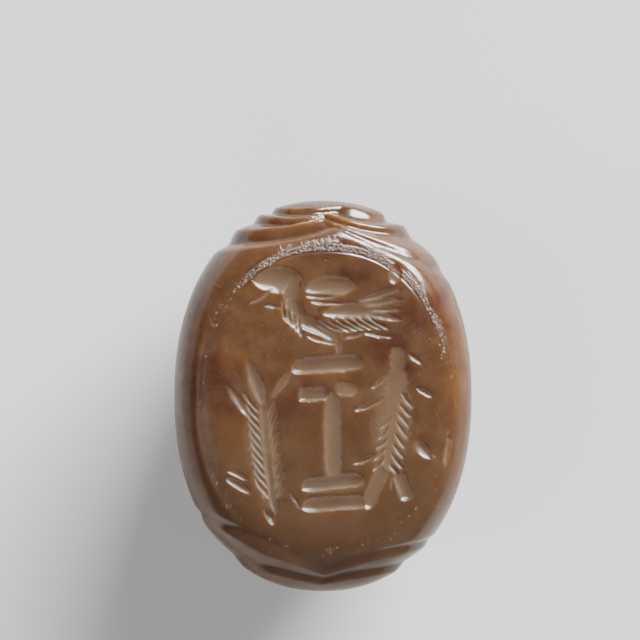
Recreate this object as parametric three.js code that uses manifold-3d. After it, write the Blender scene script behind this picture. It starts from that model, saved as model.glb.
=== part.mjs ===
// A pierced oval stamp seal, cut from one piece of translucent brown carnelian.
// It lies on its domed back. The flat engraved face looks up (+Z) and is cut in intaglio:
// a bird over an altar, between two leafy plants. The ends of the hoop (+Y and -Y) carry nested
// arched flutes. The string hole runs through the stone from side to side, along X.
// Millimetres, +Z up, +Y towards the bird, origin at the middle of the small flat it rests on.

import * as THREE from "three";
import { mergeVertices } from "three/addons/utils/BufferGeometryUtils.js";
import Module from "manifold-3d";

const wasm = await Module();
wasm.setup();

// The whole stone
const LENGTH = 22.2;
const WIDTH = 16.9;
const HEIGHT = 14.0;
const FACE_LENGTH = 18.0;
const FACE_WIDTH = 14.8;
const REST_WIDTH = 4.6;
const GIRTH_DEPTH = 3.6; // how far below the face the stone is widest
const PLAN_POWER = 2.2; // 2 is a plain ellipse in plan; more is squarer
const SIDE_POWER = 2.2; // the same for the profile from face to back
const RIM_BEVEL = 0.18;
const SKIN_STEP_DEG = 5.625;
const SKIN_DEPTHS = [
  0, 0.22, 0.6, 1.1, 1.7, 2.3, 2.9, 3.6, 4.5, 5.5, 6.6, 7.8, 9, 10.2, 11.2, 12.1, 12.8, 13.4, 13.8,
];

// The string hole
const HOLE_RADIUS = 3.0;
const HOLE_MOUTH_RADIUS = 3.35;
const HOLE_MOUTH_DEPTH = 1.3;
const HOLE_HEIGHT = 6.8; // of its axis above the rest
const HOLE_SIDES = 32;

// The flutes of the hoop. At each end channels lie one inside the other, with sharp crests
// between them. Seen from above, each crest has its peak near the middle line, falls away to both
// sides and stands on a foot at the girth. From there its leg runs out over the back.
// Crests are numbered from the outermost, 0, inwards. A foot is so far from the middle line, and
// a crest's arm sags so far towards the face on its way there.
const FLUTE_DEEPEST = 0.65; // as a share of the way from a crest to the next one inwards
const CREST_SINK = 0.03;
const FLUTE_FADE_START = 8.4; // the channels run out over the back between these depths
const FLUTE_FADE_END = 11.8;
const NESTS = [
  {
    end: 1,
    peaks: [[0.73, 9.49], [-0.28, 10.1], [0, 10.36], [0.2, 10.8]],
    left: { feet: [6.15, 4.95, 3.65, 2.7], sags: [0.1, 0.15, 0.25, 0.1], depths: [0.3, 0.28, 0.25] },
    right: { feet: [7.25, 6.4, 4.6, 2.2], sags: [-0.13, 0.25, 0.35, 0.1], depths: [0.22, 0.46, 0.3] },
  },
  {
    end: -1,
    peaks: [[0, 9.3], [-0.06, 10.06], [-0.2, 10.6]],
    left: { feet: [7.3, 6.8, 4.5], sags: [0, 0, 0], depths: [0.16, 0.28] },
    right: { feet: [6.4, 5.85, 4.2], sags: [0, 0.1, 0.08], depths: [0.16, 0.28] },
  },
];
const STEPS_PER_FLUTE = 4;
const STEPS_PER_ARM = 10;
const STEPS_PER_LEG = 4;

// Half the stone's size at a depth below the face, from the girth's half size and the face's.
function halfSize(depth, girth, face) {
  const rise = Math.min(1, face / girth) ** SIDE_POWER;
  const reachUp = GIRTH_DEPTH / (1 - rise) ** (1 / SIDE_POWER);
  const restShare = (REST_WIDTH / WIDTH) ** SIDE_POWER;
  const reachDown = (HEIGHT - GIRTH_DEPTH) / (1 - restShare) ** (1 / SIDE_POWER);
  const away = depth - GIRTH_DEPTH;
  const share = Math.abs(away) / (away < 0 ? reachUp : reachDown);
  return girth * (1 - share ** SIDE_POWER) ** (1 / SIDE_POWER);
}

const halfWidthAt = (depth) => halfSize(depth, WIDTH / 2, FACE_WIDTH / 2);
const halfLengthAt = (depth) => halfSize(depth, LENGTH / 2, FACE_LENGTH / 2);
const signedPower = (v, power) => Math.sign(v) * Math.abs(v) ** power;

// A point of the plain skin, by its angle round the stone and its depth below the face
function skinPoint(angle, depth, inset = 0) {
  const x = (halfWidthAt(depth) - inset) * signedPower(Math.cos(angle), 2 / PLAN_POWER);
  const y = (halfLengthAt(depth) - inset) * signedPower(Math.sin(angle), 2 / PLAN_POWER);
  return new THREE.Vector3(x, y, HEIGHT - depth);
}

function skinNormal(angle, depth) {
  const small = 1e-3;
  const around = skinPoint(angle + small, depth).sub(skinPoint(angle - small, depth));
  const down = skinPoint(angle, depth + small).sub(skinPoint(angle, depth - small));
  return down.cross(around).normalize();
}

// A closed mesh from rows of points, each row a ring, with a cap at each end
function ringsGeometry(rows) {
  const n = rows[0].length;
  const positions = rows.flat().flatMap((p) => p.toArray());
  const index = [];
  for (let row = 0; row < rows.length - 1; row++) {
    for (let i = 0; i < n; i++) {
      const j = (i + 1) % n;
      const [a, b, c, d] = [row * n + i, row * n + j, (row + 1) * n + j, (row + 1) * n + i];
      index.push(a, c, b, a, d, c);
    }
  }
  const last = (rows.length - 1) * n;
  for (const ring of [rows[0], rows[rows.length - 1]]) {
    const middle = ring.reduce((sum, p) => sum.add(p), new THREE.Vector3()).divideScalar(n);
    positions.push(...middle.toArray());
  }
  const top = positions.length / 3 - 2;
  for (let i = 0; i < n; i++) {
    const j = (i + 1) % n;
    index.push(top, i, j, top + 1, last + j, last + i);
  }
  const made = new THREE.BufferGeometry();
  made.setAttribute("position", new THREE.Float32BufferAttribute(positions, 3));
  return made.setIndex(index);
}

// The plain stone before it is cut
function stoneGeometry() {
  const columns = Math.round(360 / SKIN_STEP_DEG);
  const angles = Array.from({ length: columns }, (_, i) => (2 * Math.PI * i) / columns);
  const rows = [...SKIN_DEPTHS, HEIGHT].map((depth) =>
    angles.map((angle) => skinPoint(angle, depth, depth === 0 ? RIM_BEVEL : 0)),
  );
  return ringsGeometry(rows);
}

// The depth at which the plain skin passes through a point in plan, from the face to the girth
function depthAt(x, y) {
  let [above, below] = [0, GIRTH_DEPTH];
  for (let i = 0; i < 24; i++) {
    const depth = (above + below) / 2;
    const [across, along] = [Math.abs(x) / halfWidthAt(depth), Math.abs(y) / halfLengthAt(depth)];
    if (across ** PLAN_POWER + along ** PLAN_POWER > 1) above = depth;
    else below = depth;
  }
  return below;
}

// The value at a step of a list that has one for each crest
function atStep(values, step) {
  const k = Math.min(Math.floor(step), values.length - 1);
  return THREE.MathUtils.lerp(values[k], values[k + 1] ?? values[k], step - k);
}

// How deep the channels are at a step from the outermost crest to the innermost. The first and
// last edges stand proud, so that the cut runs out through the skin.
function fluteCut(step, { left, right }, { x, depth }) {
  if (step === 0 || step === left.depths.length) return -CREST_SINK;
  const place = step % 1;
  const hollow = Math.min(place / FLUTE_DEEPEST, (1 - place) / (1 - FLUTE_DEEPEST));
  const flute = Math.floor(step);
  const toRight = THREE.MathUtils.smoothstep(x, -1, 1);
  const deepest = THREE.MathUtils.lerp(left.depths[flute], right.depths[flute], toRight);
  const fade = 1 - THREE.MathUtils.smoothstep(depth, FLUTE_FADE_START, FLUTE_FADE_END);
  return Math.max(CREST_SINK, deepest * hollow) * fade - CREST_SINK * (1 - fade);
}

// One arm of a crest, from its peak out to its foot and down its leg: places of the plain skin
function crestArm(step, peaks, { feet, sags }, side) {
  const peak = [0, 1].map((i) => atStep(peaks.map((p) => p[i]), step));
  const foot = side * atStep(feet, step);
  const girthShare = 1 - (Math.abs(foot) / (WIDTH / 2)) ** PLAN_POWER;
  const footY = (LENGTH / 2) * girthShare ** (1 / PLAN_POWER);
  const places = [];
  for (let i = 0; i <= STEPS_PER_ARM; i++) {
    const t = Math.sin((Math.PI / 2) * (i / STEPS_PER_ARM));
    const x = THREE.MathUtils.lerp(peak[0], foot, t);
    const y = THREE.MathUtils.lerp(peak[1], footY, t) - atStep(sags, step) * Math.sin(Math.PI * t);
    places.push({ x, depth: i < STEPS_PER_ARM ? depthAt(x, y) : GIRTH_DEPTH });
  }
  for (let i = 1; i <= STEPS_PER_LEG; i++) {
    const depth = GIRTH_DEPTH + ((FLUTE_FADE_END - GIRTH_DEPTH) * i) / STEPS_PER_LEG;
    places.push({ x: (foot * halfWidthAt(depth)) / halfWidthAt(GIRTH_DEPTH), depth });
  }
  return places;
}

// A closed slab between two grids of points, each a list of equal rows
function slabGeometry(inner, outer) {
  const [rows, n] = [inner.length, inner[0].length];
  const positions = [...inner.flat(), ...outer.flat()].flatMap((p) => p.toArray());
  const index = [];
  const quad = (a, b, c, d) => index.push(a, c, b, a, d, c);
  const at = (row, i, layer) => layer * rows * n + row * n + i;
  for (let row = 0; row < rows - 1; row++) {
    for (let i = 0; i < n - 1; i++) {
      quad(at(row, i, 0), at(row, i + 1, 0), at(row + 1, i + 1, 0), at(row + 1, i, 0));
      quad(at(row, i, 1), at(row + 1, i, 1), at(row + 1, i + 1, 1), at(row, i + 1, 1));
    }
    quad(at(row, 0, 0), at(row + 1, 0, 0), at(row + 1, 0, 1), at(row, 0, 1));
    quad(at(row, n - 1, 0), at(row, n - 1, 1), at(row + 1, n - 1, 1), at(row + 1, n - 1, 0));
  }
  for (let i = 0; i < n - 1; i++) {
    quad(at(0, i, 0), at(0, i, 1), at(0, i + 1, 1), at(0, i + 1, 0));
    quad(at(rows - 1, i, 0), at(rows - 1, i + 1, 0), at(rows - 1, i + 1, 1), at(rows - 1, i, 1));
  }
  const made = new THREE.BufferGeometry();
  made.setAttribute("position", new THREE.Float32BufferAttribute(positions, 3));
  return made.setIndex(index);
}

// What is cut away at one end: its inner side is the fluted surface, its outer side is in the air.
function fluteTool(nest) {
  const { end, peaks, left, right } = nest;
  const clear = 1.5;
  const inner = [];
  const outer = [];
  for (let k = 0; k <= left.depths.length * STEPS_PER_FLUTE; k++) {
    const step = k / STEPS_PER_FLUTE;
    const leftArm = crestArm(step, peaks, left, -1);
    const path = [...leftArm.reverse(), ...crestArm(step, peaks, right, 1).slice(1)];
    if (end < 0) path.reverse();
    const onSkin = path.map((place) => {
      const across = signedPower(place.x / halfWidthAt(place.depth), PLAN_POWER / 2);
      const angle = end * Math.acos(across);
      return { place, point: skinPoint(angle, place.depth), normal: skinNormal(angle, place.depth) };
    });
    const moved = (s, out) => s.point.clone().addScaledVector(s.normal, out);
    inner.push(onSkin.map((s) => moved(s, -fluteCut(step, nest, s.place))));
    outer.push(onSkin.map((s) => moved(s, clear)));
  }
  return slabGeometry(inner, outer);
}

// The string hole as a solid: straight, with mouths worn wider
function holeGeometry() {
  const reach = WIDTH;
  const mouth = WIDTH / 2 - HOLE_MOUTH_DEPTH;
  const flare = (HOLE_MOUTH_RADIUS - HOLE_RADIUS) / HOLE_MOUTH_DEPTH;
  const wide = HOLE_RADIUS + flare * (reach - mouth);
  const profile = [
    [0, -reach],
    [wide, -reach],
    [HOLE_RADIUS, -mouth],
    [HOLE_RADIUS, mouth],
    [wide, reach],
    [0, reach],
  ].map(([r, along]) => new THREE.Vector2(r, along));
  return new THREE.LatheGeometry(profile, HOLE_SIDES).rotateZ(Math.PI / 2).translate(0, 0, HOLE_HEIGHT);
}

// A stroke of the cutting wheel: a long lens, pointed at both ends and sunk into the face.
// from and to are its tips on the face, [x, y].
function lensStroke(from, to, width, depth) {
  const sides = width > 0.6 ? 10 : 6;
  const stations = width > 0.6 ? 8 : 5;
  return laidOnFace(new THREE.SphereGeometry(1, sides, stations), from, to, width / 2, 1, depth);
}

// A stroke with blunt round ends and an even bed, as a slab or a shaft is cut.
function troughStroke(from, to, width, depth) {
  const length = Math.hypot(to[0] - from[0], to[1] - from[1]);
  const straight = (2 * length) / width - 2;
  const shape = new THREE.CapsuleGeometry(1, straight, 3, 8);
  return laidOnFace(shape, from, to, width / 2, 1 + straight / 2, depth);
}

// Lays a shape that runs along Y on the face between two points, with its middle at the face.
function laidOnFace(shape, from, to, halfWidth, shapeReach, depth) {
  const [dx, dy] = [to[0] - from[0], to[1] - from[1]];
  const length = Math.hypot(dx, dy);
  return shape
    .scale(halfWidth, length / 2 / shapeReach, depth)
    .rotateZ(Math.atan2(dy, dx) - Math.PI / 2)
    .translate((from[0] + to[0]) / 2, (from[1] + to[1]) / 2, HEIGHT);
}

// count strokes side by side: the first runs from start by run, and each next one starts step on
function strokeRow(count, start, step, run, width, depth) {
  return Array.from({ length: count }, (_, i) => {
    const [x, y] = [start[0] + i * step[0], start[1] + i * step[1]];
    return lensStroke([x, y], [x + run[0], y + run[1]], width, depth);
  });
}

// The bird, walking left, with its wing raised and its tail behind it
function birdStrokes() {
  return [
    lensStroke([-4.15, 6.6], [-1.3, 6.7], 1.6, 0.5), // head
    troughStroke([-1.95, 7.2], [-2.0, 5.2], 0.95, 0.42), // nape
    troughStroke([-2.1, 5.8], [-1.1, 4.0], 0.95, 0.42), // breast
    troughStroke([-1.5, 4.5], [0.7, 3.45], 0.85, 0.4), // belly
    lensStroke([-3.0, 6.1], [-4.4, 5.2], 0.34, 0.28), // upper beak
    lensStroke([-3.55, 5.22], [-2.5, 5.12], 0.28, 0.22), // lower beak
    lensStroke([-1.3, 6.1], [1.8, 6.3], 1.3, 0.5), // wing
    lensStroke([-1.0, 5.7], [0.7, 5.45], 0.55, 0.42), // wing's lower edge
    lensStroke([-0.4, 4.95], [3.4, 4.95], 1.1, 0.42), // back
    ...strokeRow(3, [-2.4, 5.5], [0.34, -0.3], [0.2, -1.45], 0.3, 0.44), // breast feathers
    ...strokeRow(7, [-1.3, 4.4], [0.56, 0.03], [1.4, -0.78], 0.34, 0.42), // belly feathers
    lensStroke([-1.15, 3.55], [0.55, 3.15], 0.3, 0.34), // belly's edge
    ...[0, 1, 2, 3].map((i) => lensStroke([1.5, 5.35 - 0.2 * i], [4.3, 6.2 - 0.58 * i], 0.55, 0.34)), // tail
    lensStroke([1.0, 3.25], [2.3, 3.75], 0.3, 0.26), // leg
    lensStroke([2.0, 3.75], [3.85, 3.45], 0.36, 0.32), // perch
    lensStroke([3.83, 7.5], [3.86, 6.35], 0.85, 0.3), // dot by the rim
  ];
}

// The altar: a table top, a broken slab under it, a shaft and a base of two steps
function altarStrokes() {
  return [
    lensStroke([0.65, 3.35], [0.7, 2.35], 0.45, 0.2), // rise above the table
    troughStroke([-2.05, 1.83], [2.1, 2.15], 1.12, 0.45), // table top
    troughStroke([-1.55, 0.3], [0.0, 0.4], 0.95, 0.36), // slab, left
    troughStroke([0.5, 0.5], [1.75, 0.45], 0.85, 0.32), // slab, right
    troughStroke([0.32, 0.35], [0.35, -4.2], 1.08, 0.38), // shaft
    troughStroke([-1.45, -4.8], [2.15, -4.45], 1.02, 0.42), // upper step
    troughStroke([-1.45, -5.9], [2.45, -5.7], 1.0, 0.42), // lower step
    lensStroke([-2.15, -5.1], [-1.4, -6.35], 0.22, 0.2), // base's left border
  ];
}

// The plant on the right, with boughs that hang down and two broad roots
function rightPlantStrokes() {
  return [
    troughStroke([3.95, 2.95], [3.95, 1.2], 0.9, 0.3), // crown
    troughStroke([3.98, 1.7], [3.8, -2.3], 1.15, 0.34), // trunk
    troughStroke([3.75, -1.6], [3.45, -4.2], 0.8, 0.34), // trunk's foot
    lensStroke([3.45, 1.5], [2.4, 0.6], 0.45, 0.28), // upper left bough
    lensStroke([3.4, 0.25], [1.45, -0.6], 0.5, 0.32), // lower left bough
    ...strokeRow(5, [3.75, -0.85], [-0.1, -0.58], [-0.85, -0.95], 0.3, 0.36), // left leaves
    ...strokeRow(7, [4.1, 0.35], [-0.11, -0.6], [0.85, -1.2], 0.32, 0.38), // right leaves
    lensStroke([4.5, 2.55], [5.5, 1.8], 0.3, 0.18), // upper right bough
    lensStroke([5.04, 0.67], [6.05, 0.05], 0.34, 0.28), // leaf tip
    lensStroke([4.93, -2.3], [5.9, -3.45], 0.74, 0.3), // broad leaf, right
    lensStroke([2.75, -3.15], [1.4, -3.7], 0.42, 0.32), // broad leaf, left
    troughStroke([3.25, -3.85], [2.2, -6.2], 0.95, 0.36), // left root
    troughStroke([4.0, -4.1], [4.6, -5.75], 0.82, 0.36), // right root
    lensStroke([3.66, -4.35], [3.62, -5.25], 0.2, 0.26), // cut between the roots
  ];
}

// The plant on the left, an upright frond with three big leaves at its top
function leftPlantStrokes() {
  return [
    lensStroke([-4.45, 2.25], [-3.4, -0.7], 0.86, 0.34), // middle leaf
    lensStroke([-1.95, 1.65], [-3.15, -0.15], 0.66, 0.28), // right leaf
    lensStroke([-5.6, 0.8], [-4.25, -1.2], 0.5, 0.26), // left leaf
    troughStroke([-3.55, -0.2], [-3.35, -3.2], 0.5, 0.3), // stem
    troughStroke([-3.4, -2.9], [-2.85, -6.6], 0.48, 0.32), // stem's foot
    ...strokeRow(9, [-4.65, 0.3], [0.07, -0.57], [0.95, -1.3], 0.32, 0.36), // left barbs
    ...strokeRow(8, [-2.85, -0.2], [0.07, -0.6], [-0.55, -1.15], 0.32, 0.34), // right barbs
    lensStroke([-5.54, -3.95], [-4.4, -4.52], 0.42, 0.3), // low leaf
    lensStroke([-5.68, -4.3], [-4.15, -5.25], 0.55, 0.34), // lowest leaf
    lensStroke([-3.4, -6.05], [-2.8, -7.05], 0.62, 0.45), // pit at the stem's foot
  ];
}

// A flake lost from the right side of the face's rim
const rimChip = () => lensStroke([6.85, -2.2], [6.7, -4.1], 0.6, 0.4);

// A closed three.js geometry as a solid that can be joined and cut
function solidOf(geometry) {
  const bare = geometry.clone();
  bare.deleteAttribute("normal");
  bare.deleteAttribute("uv");
  const merged = mergeVertices(bare, 1e-5);
  const corners = merged.index.array;
  const kept = [];
  for (let i = 0; i < corners.length; i += 3) {
    const [a, b, c] = [corners[i], corners[i + 1], corners[i + 2]];
    if (a !== b && b !== c && c !== a) kept.push(a, b, c);
  }
  return new wasm.Manifold(
    new wasm.Mesh({
      numProp: 3,
      vertProperties: merged.attributes.position.array,
      triVerts: new Uint32Array(kept),
    }),
  );
}

function geometryOf(solid) {
  const mesh = solid.getMesh();
  const made = new THREE.BufferGeometry();
  made.setAttribute("position", new THREE.BufferAttribute(mesh.vertProperties, 3));
  made.setIndex(new THREE.BufferAttribute(mesh.triVerts, 1));
  made.computeVertexNormals();
  return made;
}

function sealStone() {
  const engraving = [
    ...birdStrokes(),
    ...altarStrokes(),
    ...rightPlantStrokes(),
    ...leftPlantStrokes(),
    rimChip(),
  ]
    .map(solidOf)
    .reduce((all, stroke) => all.add(stroke));
  const fluted = NESTS.map(fluteTool).reduce(
    (stone, tool) => stone.subtract(solidOf(tool)),
    solidOf(stoneGeometry()),
  );
  const stone = fluted.subtract(solidOf(holeGeometry())).subtract(engraving);
  const carnelian = new THREE.MeshStandardMaterial({ color: 0x8a5c38, roughness: 0.22, metalness: 0 });
  const mesh = new THREE.Mesh(geometryOf(stone), carnelian);
  mesh.name = "seal_stone";
  return mesh;
}

const seal = new THREE.Group();
seal.add(sealStone());
export default seal;
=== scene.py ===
"""An oval stamp seal of translucent brown stone: engraved face up, fluted ends, string hole."""

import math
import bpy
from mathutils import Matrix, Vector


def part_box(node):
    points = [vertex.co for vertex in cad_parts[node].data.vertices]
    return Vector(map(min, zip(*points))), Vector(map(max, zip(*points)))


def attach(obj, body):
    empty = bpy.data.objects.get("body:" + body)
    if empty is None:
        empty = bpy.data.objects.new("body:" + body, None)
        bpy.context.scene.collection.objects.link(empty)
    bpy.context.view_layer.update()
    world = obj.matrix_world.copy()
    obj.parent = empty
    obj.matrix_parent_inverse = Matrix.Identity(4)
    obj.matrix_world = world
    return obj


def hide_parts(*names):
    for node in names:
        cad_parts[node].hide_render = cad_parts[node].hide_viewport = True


bl_info = {
    "name": "Engraved stamp seal",
    "version": (1, 0, 0),
    "blender": (4, 5, 0),
    "location": "3D View > Sidebar > Stamp seal",
    "description": "Builds a pierced and engraved stamp seal of translucent brown stone",
    "category": "Add Mesh",
}

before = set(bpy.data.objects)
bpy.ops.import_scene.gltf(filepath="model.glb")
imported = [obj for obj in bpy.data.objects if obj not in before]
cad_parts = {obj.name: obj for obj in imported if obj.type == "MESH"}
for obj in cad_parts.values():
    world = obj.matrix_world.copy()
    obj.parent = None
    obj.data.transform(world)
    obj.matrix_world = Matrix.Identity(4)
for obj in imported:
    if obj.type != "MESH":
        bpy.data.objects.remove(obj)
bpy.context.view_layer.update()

import bpy
import numpy as np
from mathutils import Matrix, Vector

MM = 0.001
NODE = "seal_stone"
LOW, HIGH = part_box(NODE)
STONE_LENGTH = HIGH[1] - LOW[1]
STONE_HEIGHT = HIGH[2] - LOW[2]

# The skin of the stone, as powers: 2 is a plain ellipse and more is squarer
PLAN_POWER = 2.2
SIDE_POWER = 2.2
# The skin lies this far inside the plain form, so that nothing sticks out of it
SKIN_INSET = 0.01 * MM
# The skin's mesh: points round the stone, fine rows down to the girth, coarse rows to the rest
SKIN_COLUMNS = 420
COLUMN_SHIFT = 0.25
FINE_ROW = 0.075 * MM
COARSE_ROWS = 36
REST_ROW = 0.02 * MM

# The flutes of the two ends, in mm. Crests are numbered from the outermost, 0, inwards. Seen from
# above each has a peak near the middle line, falls away to both sides and stands on a foot at the
# girth, so far from the middle line. Its arm sags towards the face on the way. Depths are those of
# the flutes between the crests.
NESTS = [
    {
        "end": 1,
        "peaks": [(0.73, 9.49), (-0.28, 10.1), (0, 10.36), (1.0, 10.8)],
        "left": {
            "feet": [6.15, 4.95, 3.65, 2.7],
            "sags": [0.1, 0.15, 0.25, 0.1],
            "depths": [0.3, 0.28, 0.25],
        },
        "right": {
            "feet": [7.25, 6.4, 4.6, 3.4],
            "sags": [-0.13, 0.03, 0.3, 0.0],
            "depths": [0.11, 0.26, 0.36],
        },
    },
    {
        "end": -1,
        "peaks": [(0, 9.3), (-0.06, 10.06), (-0.2, 10.6)],
        "left": {"feet": [7.3, 6.8, 4.5], "sags": [0, 0, 0], "depths": [0.12, 0.2]},
        "right": {"feet": [6.4, 5.85, 4.2], "sags": [0, 0.1, 0.08], "depths": [0.12, 0.2]},
    },
]
# Where each flute is deepest, as a share of the way inwards, and how round its crests are worn
FLUTE_DEEPEST = [0.45, 0.65, 0.65]
CREST_WEAR = 0.4
# The flutes run out over the back between these depths below the face, in mm
FLUTE_FADE = (8.4, 11.8)

# The string hole's tube: its mesh, and where its worn mouths start as a share of the way out
HOLE_SIDES = 88
HOLE_RINGS = 64
MOUTH_START = 0.72

# The strokes are cut to this share of the depths listed with them, and their edges wander
CUT_SHARE = 0.62
WANDER_SIZE = 0.8 * MM
WANDER_REACH = 0.2 * MM

# Depths of a rim flake: the deepest, and the one that its stored number is a share of
FLAKE_DEPTH = 0.045 * MM
FLAKE_UNIT = 0.1 * MM

# A mesh with fewer faces than this has failed
LEAST_FACES = 10000

# Red-brown clouds in the stone: x, y and reach, in mm
RED_CLOUDS = [
    (0.9, 7.8, 3.0),
    (5.6, 5.0, 3.4),
    (3.4, 2.8, 2.6),
    (-6.4, 1.0, 3.0),
    (-1.6, -0.8, 2.8),
    (1.5, -9.8, 4.5),
]


# Strokes of the engraving wheel, in mm on the face, +Y towards the bird


def stroke(start, end, width, depth, bend=0.0, skew=0.0, blunt=2.0, bed=2.0):
    """One cut from start to end. bend bows it sideways, skew moves its bed to one side, blunt
    squares its ends and bed flattens its bottom."""
    return {"ends": (start, end), "size": (width, depth, bend), "form": (blunt, bed, skew)}


def slab(start, end, width, depth, skew=0.0, bend=0.0):
    """A cut with blunt ends and a flat bed."""
    return stroke(start, end, width, depth, bend, skew, blunt=7.0, bed=3.2)


def row(count, start, step, run, width, depth, **form):
    """Equal strokes side by side: each next one starts a step on."""
    made = []
    for i in range(count):
        x, y = start[0] + i * step[0], start[1] + i * step[1]
        made.append(stroke((x, y), (x + run[0], y + run[1]), width, depth, **form))
    return made


def bird_strokes():
    """The bird, walking left, with its wing raised and its tail behind it."""
    head = [
        stroke((-4.15, 6.6), (-1.3, 6.7), 1.6, 0.42, bed=2.6),
        slab((-1.95, 7.2), (-2.0, 5.2), 0.95, 0.36),
        stroke((-3.0, 6.1), (-4.4, 5.2), 0.3, 0.26, skew=-0.3),
        stroke((-3.55, 5.22), (-2.5, 5.12), 0.28, 0.22, skew=-0.4),
    ]
    body = [
        slab((-2.1, 5.8), (-1.1, 4.0), 0.95, 0.34, bend=-0.1),
        slab((-1.5, 4.5), (0.7, 3.45), 0.9, 0.34, skew=-0.3),
        stroke((-0.4, 4.95), (3.4, 4.95), 1.15, 0.36, skew=-0.2),
        stroke((-1.15, 3.55), (0.6, 3.12), 0.32, 0.36, bend=-0.05, skew=-0.3),
    ]
    wing = [
        stroke((-1.3, 6.1), (1.8, 6.3), 1.3, 0.42, bend=0.1, bed=2.6),
        stroke((-1.2, 5.8), (0.7, 5.75), 0.42, 0.46, skew=-0.4),
        stroke((-0.95, 5.5), (1.3, 5.4), 0.45, 0.44, skew=-0.4),
    ]
    breast = row(4, (-2.4, 5.6), (0.27, -0.26), (0.2, -1.45), 0.27, 0.42, bend=-0.1, skew=0.35)
    belly = row(9, (-1.35, 4.45), (0.44, 0.03), (1.45, -0.8), 0.3, 0.42, bend=-0.06, skew=-0.3)
    tail = [
        stroke((1.5, 5.35 - 0.2 * i), (4.3, 6.2 - 0.58 * i), 0.5, 0.3, bend=0.05, skew=-0.3)
        for i in range(4)
    ]
    perch = [
        stroke((1.0, 3.25), (2.3, 3.75), 0.3, 0.26, bend=0.06),
        stroke((2.0, 3.75), (3.85, 3.45), 0.36, 0.34, skew=-0.3),
        stroke((3.83, 7.5), (3.86, 6.35), 0.85, 0.26, bed=3.0),
    ]
    return head + body + wing + breast + belly + tail + perch


def altar_strokes():
    """The altar: table top, broken slab, shaft and a base of two steps."""
    return [
        stroke((0.65, 3.35), (0.7, 2.35), 0.45, 0.2),
        slab((-2.05, 1.83), (2.1, 2.15), 1.12, 0.42, skew=-0.35),
        slab((-1.6, 0.3), (0.1, 0.42), 1.05, 0.34, skew=-0.5),
        slab((0.5, 0.55), (1.8, 0.45), 0.95, 0.18),
        slab((0.32, 0.4), (0.35, -4.7), 1.08, 0.3, skew=0.1),
        slab((-1.45, -4.8), (2.15, -4.45), 1.02, 0.38, skew=-0.4),
        slab((-1.45, -5.9), (2.45, -5.7), 1.0, 0.38, skew=-0.4),
        stroke((-2.15, -5.1), (-1.4, -6.35), 0.2, 0.2, skew=0.2),
    ]


def right_plant_strokes():
    """The plant on the right, with hanging boughs and two broad roots."""
    trunk = [
        slab((3.95, 2.95), (3.95, 0.9), 1.0, 0.17),
        slab((3.98, 1.9), (3.8, -2.3), 1.5, 0.21),
        slab((3.75, -1.6), (3.45, -4.2), 0.9, 0.24),
    ]
    boughs = [
        stroke((3.45, 1.5), (2.4, 0.6), 0.42, 0.26, bend=0.1, skew=0.3),
        stroke((3.4, 0.25), (1.45, -0.6), 0.5, 0.34, bend=0.12, skew=0.4),
        stroke((4.5, 2.55), (5.5, 1.8), 0.3, 0.16),
        stroke((5.04, 0.67), (6.05, 0.05), 0.34, 0.28, skew=-0.3),
        stroke((4.93, -2.3), (5.9, -3.45), 0.74, 0.28),
        stroke((2.75, -3.15), (1.4, -3.7), 0.4, 0.32, skew=0.3),
    ]
    body = [stroke((4.0, 2.2), (3.5, -4.6), 2.7, 0.17, bed=3.0)]
    leaves = row(5, (3.75, -0.85), (-0.1, -0.58), (-0.85, -0.95), 0.28, 0.38, skew=0.3)
    leaves += row(8, (4.1, 0.55), (-0.1, -0.56), (0.85, -1.2), 0.28, 0.4, skew=-0.3)
    roots = [
        slab((3.25, -3.85), (2.2, -6.2), 0.95, 0.32),
        slab((4.0, -4.1), (4.6, -5.75), 0.82, 0.32),
        stroke((3.66, -4.35), (3.62, -5.25), 0.2, 0.26),
    ]
    return body + trunk + boughs + leaves + roots


def left_plant_strokes():
    """The plant on the left, an upright frond with three big leaves at its top."""
    leaves = [
        stroke((-4.45, 2.25), (-3.4, -0.7), 0.86, 0.3),
        stroke((-1.95, 1.65), (-3.15, -0.15), 0.66, 0.24),
        stroke((-5.6, 0.8), (-4.25, -1.2), 0.5, 0.22),
        stroke((-5.54, -3.95), (-4.4, -4.52), 0.42, 0.3, skew=-0.4),
        stroke((-5.68, -4.3), (-4.15, -5.25), 0.55, 0.34, skew=-0.4),
    ]
    body = [stroke((-4.1, 0.9), (-3.05, -6.5), 2.1, 0.16, bed=3.0)]
    stem = [
        slab((-3.55, -0.2), (-3.35, -3.2), 0.5, 0.26),
        slab((-3.4, -2.9), (-2.85, -6.6), 0.48, 0.3),
        stroke((-3.4, -6.05), (-2.8, -7.05), 0.62, 0.45, skew=-0.4),
    ]
    barbs = row(10, (-4.65, 0.4), (0.065, -0.53), (0.95, -1.3), 0.3, 0.36, skew=-0.3)
    barbs += row(9, (-2.85, -0.1), (0.065, -0.56), (-0.55, -1.15), 0.3, 0.34, skew=0.3)
    return body + leaves + stem + barbs


def rim_chips():
    """Flakes lost from the face's rim on the right side."""
    return [stroke((6.85, -2.2), (6.7, -4.1), 0.6, 0.36, skew=0.3)]


# What a user may change


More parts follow.
